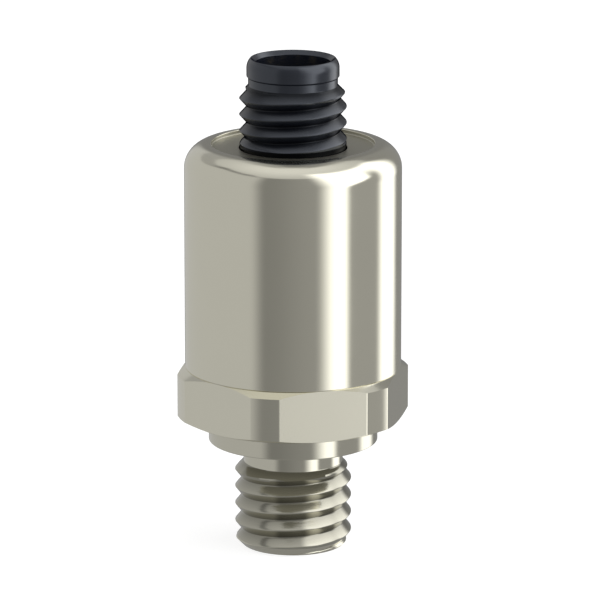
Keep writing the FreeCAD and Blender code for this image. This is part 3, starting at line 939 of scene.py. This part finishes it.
upward = add_node(room, "ShaderNodeSeparateXYZ", in_Vector=heading).outputs["Z"]
azimuth = maths(room, "MULTIPLY", maths(room, "ARCTAN2", pointing(right), pointing(facing)), 1 / DEG)
elevation = maths(room, "MULTIPLY", maths(room, "ARCSINE", upward), 1 / DEG)
back_off = maths(room, "SUBTRACT", 180.0, maths(room, "ABSOLUTE", azimuth))
risen = maths(room, "MAXIMUM", elevation, 0.0)
print("the room is drawn from", len(room.nodes), "nodes so far")

# %% Dark cards
FRONT_LEFT, FRONT_RIGHT = 0.24, 0.32
BACK_LEFT, BACK_RIGHT, BACK_MIDDLE = 0.38, 0.28, 0.22

# the card round the camera, a little lighter to the right
level = span(room, ramp(azimuth, -30.0, 25.0), FRONT_LEFT, FRONT_RIGHT)
# what stands behind the object: mid grey at both sides, darker straight behind
level = card(level, upside(ramp(azimuth, -125.0, -105.0)), BACK_LEFT)
level = card(level, ramp(azimuth, 100.0, 110.0), BACK_RIGHT)
level = card(level, upside(ramp(back_off, 6.0, 16.0)), BACK_MIDDLE)
print("grey levels in front", FRONT_LEFT, FRONT_RIGHT, "behind", BACK_LEFT, BACK_MIDDLE, BACK_RIGHT)

# %% Light card and ceiling
LEFT_CARD = 0.53
CEILING_EDGE, CEILING_OVERHEAD = 0.57, 0.78

# the light card on the left, lower towards the back
left_top = span(room, ramp(azimuth, -140.0, -92.0), 25.0, 42.0)
on_left = product(ramp(azimuth, -172.0, -164.0), upside(ramp(azimuth, -47.0, -29.0)))
left_card = product(on_left, upside(ramp(maths(room, "SUBTRACT", elevation, left_top), -1.0, 1.0)))
level = card(level, left_card, LEFT_CARD)
# the cream ceiling, brighter overhead, and cut away straight behind
ceiling_low = maths(
    room, "SUBTRACT", span(room, ramp(azimuth, -125.0, -100.0), 40.0, 47.5),
    span(room, ramp(azimuth, -56.0, -42.0), 0.0, 4.0),
)
ceiling = ramp(maths(room, "SUBTRACT", elevation, ceiling_low), -2.0, 2.0)
overhead = span(room, ramp(elevation, 40.0, 78.0), CEILING_EDGE, CEILING_OVERHEAD)
opening = maths(room, "SUBTRACT", back_off, maths(room, "MULTIPLY_ADD", elevation, 0.75, -19.0))
ceiling = product(ceiling, maths(room, "MAXIMUM", ramp(opening, -6.0, 6.0), ramp(elevation, 70.0, 86.0)))
level = card(level, ceiling, overhead)
print("light card", LEFT_CARD, "ceiling", CEILING_EDGE, "to", CEILING_OVERHEAD)

# %% Soft light, wedge and the floor's shadow
SOFT_LIGHT, WEDGE, FLOOR_SHADOW = 1.7, 0.37, 0.33

# the big soft light on the right, and the dark wedge where it ends beside the object
slanted = maths(room, "MULTIPLY_ADD", risen, 0.17, azimuth)
soft_top = maths(room, "MULTIPLY_ADD", azimuth, 0.15, elevation)
softbox = product(
    ramp(slanted, 23.0, 50.0), upside(ramp(azimuth, 128.0, 144.0)), upside(ramp(soft_top, 63.0, 71.0)),
)
level = card(level, softbox, SOFT_LIGHT)
wedge_left = maths(room, "SUBTRACT", azimuth, span(room, ramp(elevation, -10.0, 14.0), 60.0, 90.0))
wedge = product(
    ramp(wedge_left, -5.0, 5.0), upside(ramp(azimuth, 98.0, 113.0)), upside(ramp(elevation, 14.0, 44.0)),
)
level = card(level, wedge, WEDGE)
# below, the floor close to the object lies in its shadow
level = card(level, upside(ramp(elevation, -32.0, -19.0)), FLOOR_SHADOW)
print("soft light", SOFT_LIGHT, "wedge", WEDGE, "floor's shadow", FLOOR_SHADOW)

# %% Surround
seen = add_node(room, "ShaderNodeLightPath").outputs["Is Camera Ray"]
strength = card(level, seen, 1.0)
surround = add_node(room, "ShaderNodeBackground", in_Color=(1, 1, 1, 1), in_Strength=strength)
room.links.new(surround.outputs[0], add_node(room, "ShaderNodeOutputWorld").inputs["Surface"])
print("the finished room has", len(room.nodes), "nodes")

# %% [markdown]
# ## The floor
#
# A pale disc that the part stands on. Most of its brightness is its own, so it
# joins the white surround, and the rest is lit, so the part keeps its shadow.
# A sheet curved up behind would do the same, but it would hide the cards there.

# %% Floor
FLOOR_R, FLOOR_Z = 2000.0, -0.02      # a hair under the end face, so the two don't share a plane
FLOOR_SIDES, FLOOR_GREY, FLOOR_GLOW = 96, 0.45, 0.8
floor_angles = np.linspace(0, 2 * np.pi, FLOOR_SIDES, endpoint=False)
floor_points = around_axis(FLOOR_R, FLOOR_Z, floor_angles) * MM
floor_mesh = bpy.data.meshes.new("floor")
floor_mesh.from_pydata(floor_points.tolist(), [], [list(range(FLOOR_SIDES))])
floor = bpy.data.objects.new("floor", floor_mesh)
bpy.context.scene.collection.objects.link(floor)
floor_material = bpy.data.materials.new("pale floor")
floor_material.use_nodes = True
floor_tree = floor_material.node_tree
floor_surface = floor_tree.nodes["Principled BSDF"]
floor_surface.inputs["Base Color"].default_value = (FLOOR_GREY, FLOOR_GREY, FLOOR_GREY, 1)
floor_surface.inputs["Roughness"].default_value = 1.0
floor_surface.inputs["Specular IOR Level"].default_value = 0.0
floor_surface.inputs["Emission Color"].default_value = (1, 1, 1, 1)
floor_seen = add_node(floor_tree, "ShaderNodeLightPath").outputs["Is Camera Ray"]
floor_glow = maths(floor_tree, "MULTIPLY", floor_seen, FLOOR_GLOW)
floor_tree.links.new(floor_glow, floor_surface.inputs["Emission Strength"])
floor_mesh.materials.append(floor_material)
floor.visible_glossy = False
print("floor of", FLOOR_SIDES, "sides at", FLOOR_Z)

# %% [markdown]
# ## View
#
# Standard view keeps colours as they are written.

# %% Close
bpy.context.scene.view_settings.view_transform = "Standard"
